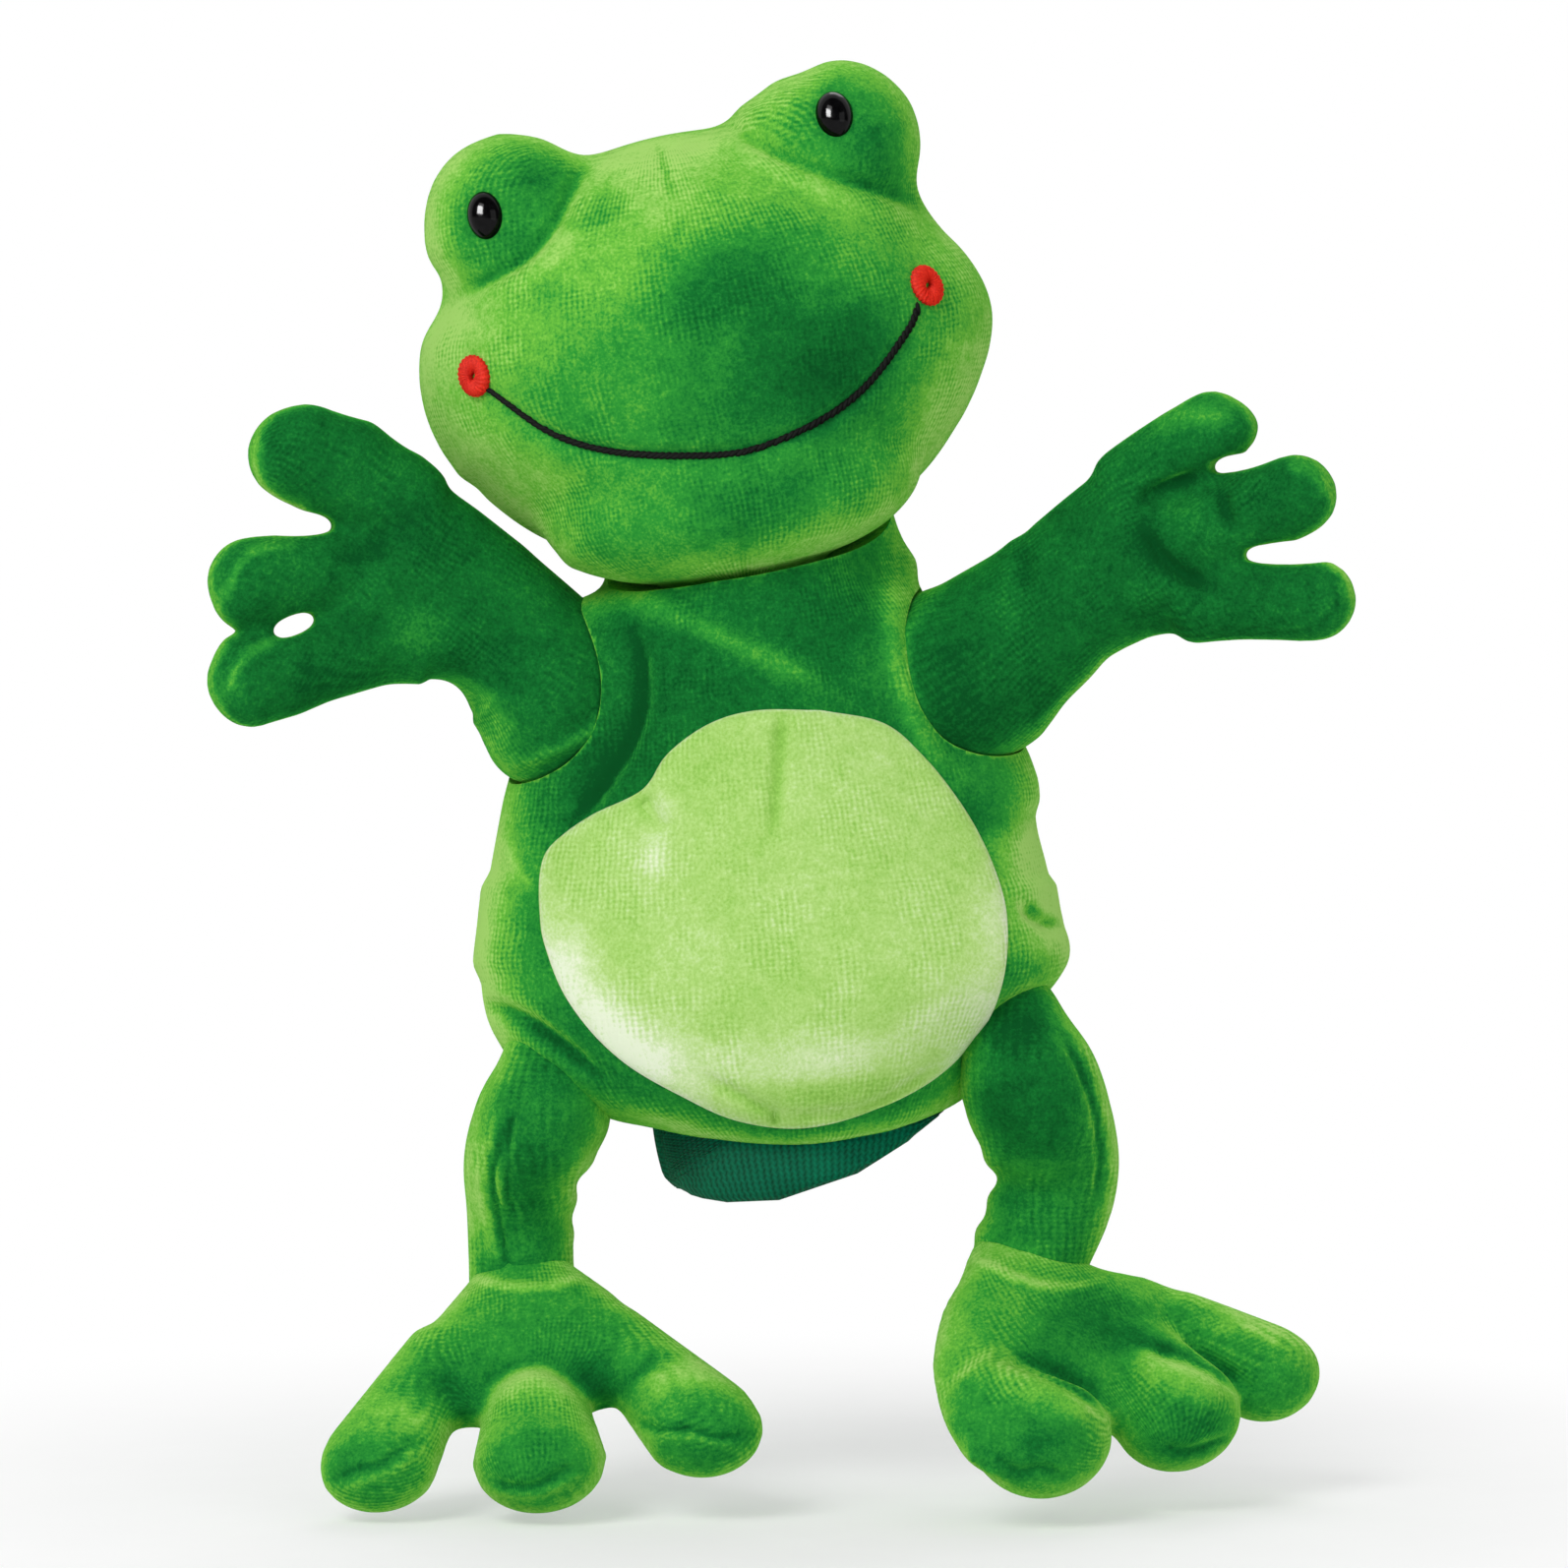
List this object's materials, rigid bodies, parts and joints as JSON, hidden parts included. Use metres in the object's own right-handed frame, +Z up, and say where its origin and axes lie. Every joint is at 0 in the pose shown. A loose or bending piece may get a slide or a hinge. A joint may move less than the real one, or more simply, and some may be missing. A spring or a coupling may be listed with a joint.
{
  "type": "frog hand puppet",
  "caption": "Plush frog hand puppet: hollow velour glove body with lined belly and knit cuff, stuffed head on a finger tube, sleeve arms, stuffed legs and webbed feet.",
  "frame": {"origin": "centre of the wrist opening, in the plane of the cuff's lower edge, where the hand goes in", "axes": "+Z up as the puppet is held, +Y from the puppet's front to its back, so it faces -Y, and +X to the puppet's own left"},
  "size_m": [0.2476, 0.1078, 0.3167],
  "materials": {
    "green_velour": "matte",
    "pale_velour": "matte",
    "teal_rib_knit": "matte",
    "white_fill": "matte",
    "red_thread": "matte",
    "black_thread": "matte",
    "black_eye": "polished",
    "washer_plastic": "satin"
  },
  "bodies": {
    "torso": {"body_front": "green_velour", "body_back": "green_velour", "belly_patch": "pale_velour", "glove_lining": "white_fill", "wrist_cuff": "teal_rib_knit"},
    "neck_hem": {"neck_hem": "green_velour"},
    "neck_thread": {"neck_thread": "black_thread"},
    "head": {"head_face": "green_velour", "head_back": "green_velour", "head_stuffing": "white_fill", "finger_tube": "white_fill", "mouth_thread": "black_thread", "left_mouth_knot": "red_thread", "left_eye_mound": "green_velour", "left_mound_stuffing": "white_fill", "left_eye": "black_eye", "left_eye_washer": "washer_plastic", "right_mouth_knot": "red_thread", "right_eye_mound": "green_velour", "right_mound_stuffing": "white_fill", "right_eye": "black_eye", "right_eye_washer": "washer_plastic"},
    "left_shoulder": {"left_armhole_seam": "green_velour"},
    "left_arm": {"left_arm_front": "green_velour", "left_arm_back": "green_velour", "left_hand_stuffing": "white_fill"},
    "right_shoulder": {"right_armhole_seam": "green_velour"},
    "right_arm": {"right_arm_front": "green_velour", "right_arm_back": "green_velour", "right_hand_stuffing": "white_fill"},
    "left_leg": {"left_leg_cover": "green_velour", "left_leg_stuffing": "white_fill"},
    "left_foot": {"left_foot_top": "green_velour", "left_foot_sole": "green_velour", "left_foot_stuffing": "white_fill"},
    "right_leg": {"right_leg_cover": "green_velour", "right_leg_stuffing": "white_fill"},
    "right_foot": {"right_foot_top": "green_velour", "right_foot_sole": "green_velour", "right_foot_stuffing": "white_fill"}
  },
  "joints": [
    {"name": "head_turn", "type": "hinge", "parent": "torso", "child": "neck_hem", "pos_m": [-0.01323, 0, 0.13736], "axis": [-0.0958, 0, 0.9954], "range_deg": [-30, 30], "stiffness_Nm_per_rad": 0.4},
    {"name": "head_tilt", "type": "hinge", "parent": "neck_hem", "child": "neck_thread", "pos_m": [-0.01323, 0, 0.13736], "axis": [0, 1, 0], "range_deg": [-5, 15], "stiffness_Nm_per_rad": 0.4},
    {"name": "head_nod", "type": "hinge", "parent": "neck_thread", "child": "head", "pos_m": [-0.01323, 0, 0.13736], "axis": [0.9833, 0, 0.1822], "range_deg": [-25, 20], "stiffness_Nm_per_rad": 0.4},
    {"name": "left_arm_raise", "type": "hinge", "parent": "torso", "child": "left_shoulder", "pos_m": [0.03439, -0.006, 0.11231], "axis": [0, -1, 0], "range_deg": [-30, 4], "stiffness_Nm_per_rad": 0.3},
    {"name": "left_arm_clap", "type": "hinge", "parent": "left_shoulder", "child": "left_arm", "pos_m": [0.03439, -0.006, 0.11231], "axis": [0.0958, 0, -0.9954], "range_deg": [-20, 60], "stiffness_Nm_per_rad": 0.3},
    {"name": "right_arm_raise", "type": "hinge", "parent": "torso", "child": "right_shoulder", "pos_m": [-0.05567, -0.006, 0.10866], "axis": [0, 1, 0], "range_deg": [-42, 4], "stiffness_Nm_per_rad": 0.3},
    {"name": "right_arm_clap", "type": "hinge", "parent": "right_shoulder", "child": "right_arm", "pos_m": [-0.05567, -0.006, 0.10866], "axis": [-0.0958, 0, 0.9954], "range_deg": [-20, 52], "stiffness_Nm_per_rad": 0.3},
    {"name": "left_leg_swing", "type": "hinge", "parent": "torso", "child": "left_leg", "pos_m": [0.04856, -0.003, 0.02778], "axis": [-1, 0, 0], "range_deg": [-35, 36], "stiffness_Nm_per_rad": 0.2},
    {"name": "right_leg_swing", "type": "hinge", "parent": "torso", "child": "right_leg", "pos_m": [-0.05297, -0.003, 0.01801], "axis": [-1, 0, 0], "range_deg": [-35, 36], "stiffness_Nm_per_rad": 0.2},
    {"name": "left_foot_flex", "type": "hinge", "parent": "left_leg", "child": "left_foot", "pos_m": [0.04856, -0.008, -0.01572], "axis": [-0.7709, -0.6246, -0.1249], "range_deg": [-25, 25], "stiffness_Nm_per_rad": 0.15},
    {"name": "right_foot_flex", "type": "hinge", "parent": "right_leg", "child": "right_foot", "pos_m": [-0.06147, -0.008, -0.01899], "axis": [-0.9963, 0.0197, -0.0831], "range_deg": [-25, 25], "stiffness_Nm_per_rad": 0.15}
  ]
}
